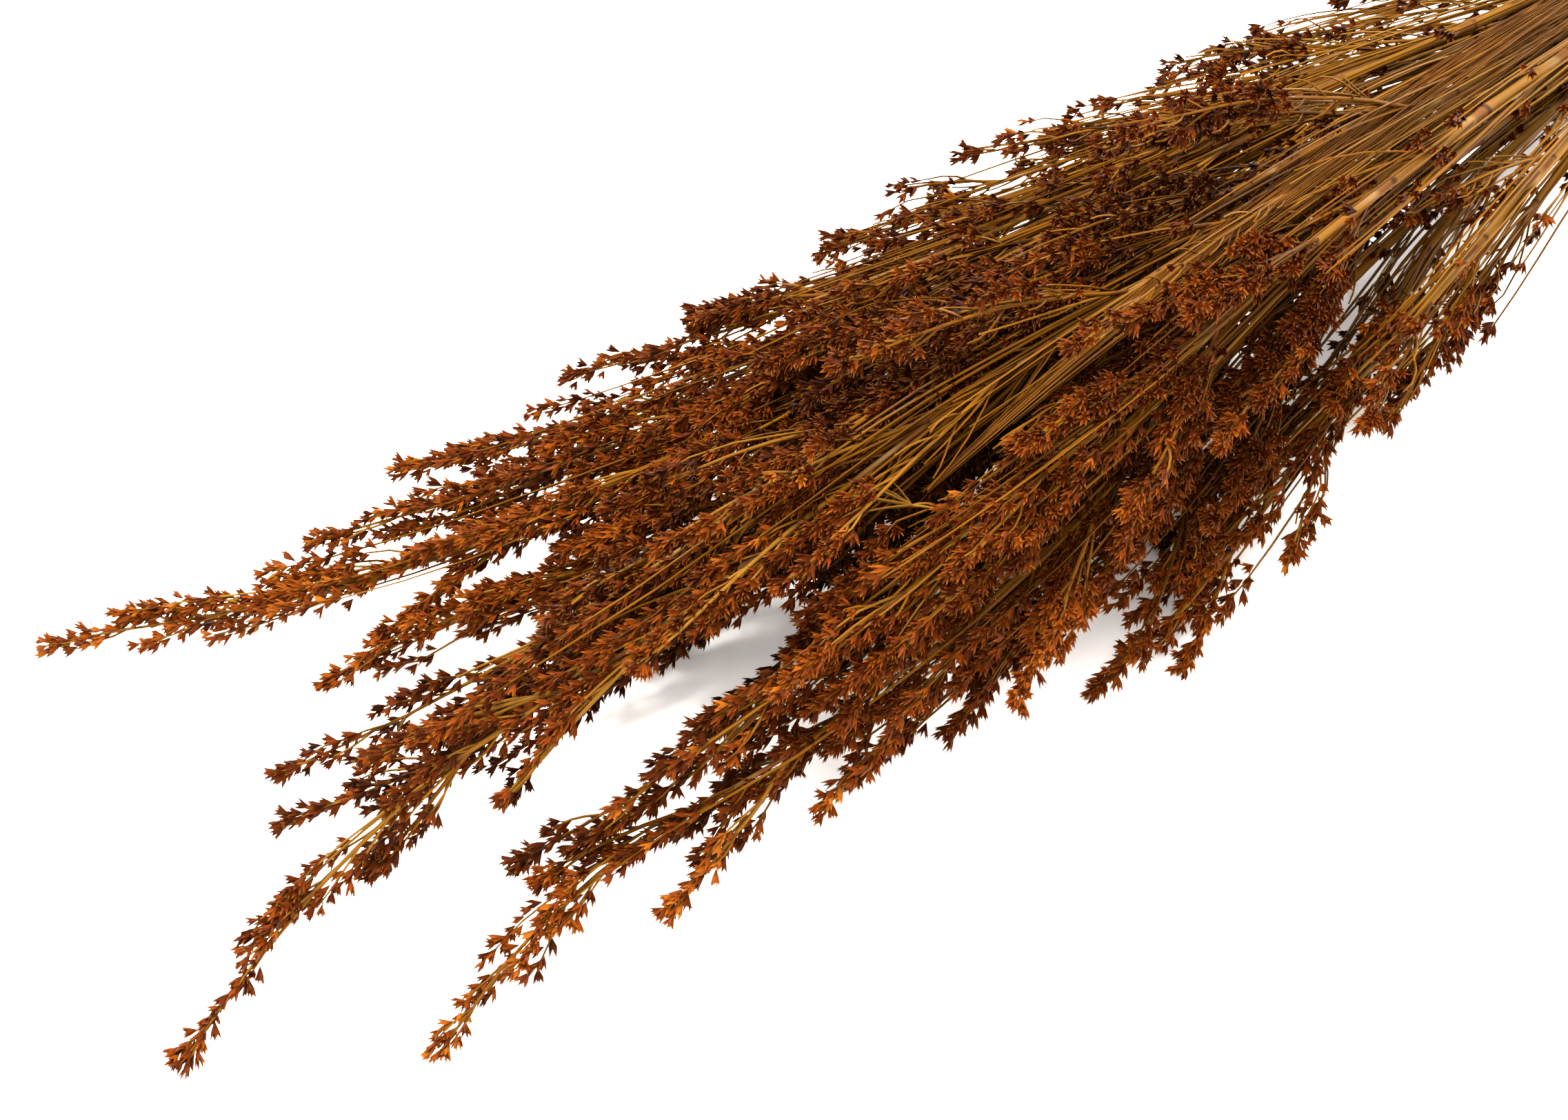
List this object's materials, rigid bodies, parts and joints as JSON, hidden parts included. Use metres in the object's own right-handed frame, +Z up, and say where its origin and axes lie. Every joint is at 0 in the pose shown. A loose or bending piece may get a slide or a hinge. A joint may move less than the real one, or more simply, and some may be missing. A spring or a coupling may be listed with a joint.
{
  "type": "preserved reed grass bunch",
  "caption": "Cut bunch of preserved reed grass lying down: jointed stems bound near their cut ends that fan out into long plumes of pointed brown spikelets; decorative dried foliage",
  "frame": {"origin": "centre of the bunch's footprint on the surface it lies on, at surface level", "axes": "+X runs along the bunch from the cut ends to the plume tips, +Y across it, +Z up from the surface"},
  "size_m": [0.6404, 0.175, 0.0965],
  "materials": {
    "preserved_reed": "waxy matte",
    "raffia": "matte"
  },
  "bodies": {
    "root": {"stem_top_short": "preserved_reed", "stem_top_long": "preserved_reed", "stem_upper_short": "preserved_reed", "stem_upper_mid": "preserved_reed", "stem_upper_long": "preserved_reed", "stem_left_upper": "preserved_reed", "stem_left_mid": "preserved_reed", "stem_left_long": "preserved_reed", "stem_left_low": "preserved_reed", "stem_crest_left": "preserved_reed", "stem_crest_mid": "preserved_reed", "stem_crest_long": "preserved_reed", "stem_heart": "preserved_reed", "stem_right_crest": "preserved_reed", "stem_right_high": "preserved_reed", "stem_right_long": "preserved_reed", "stem_right_low": "preserved_reed", "stem_right_sprig": "preserved_reed", "stem_right_string": "preserved_reed", "stem_right_short": "preserved_reed", "tie": "raffia"}
  },
  "joints": []
}
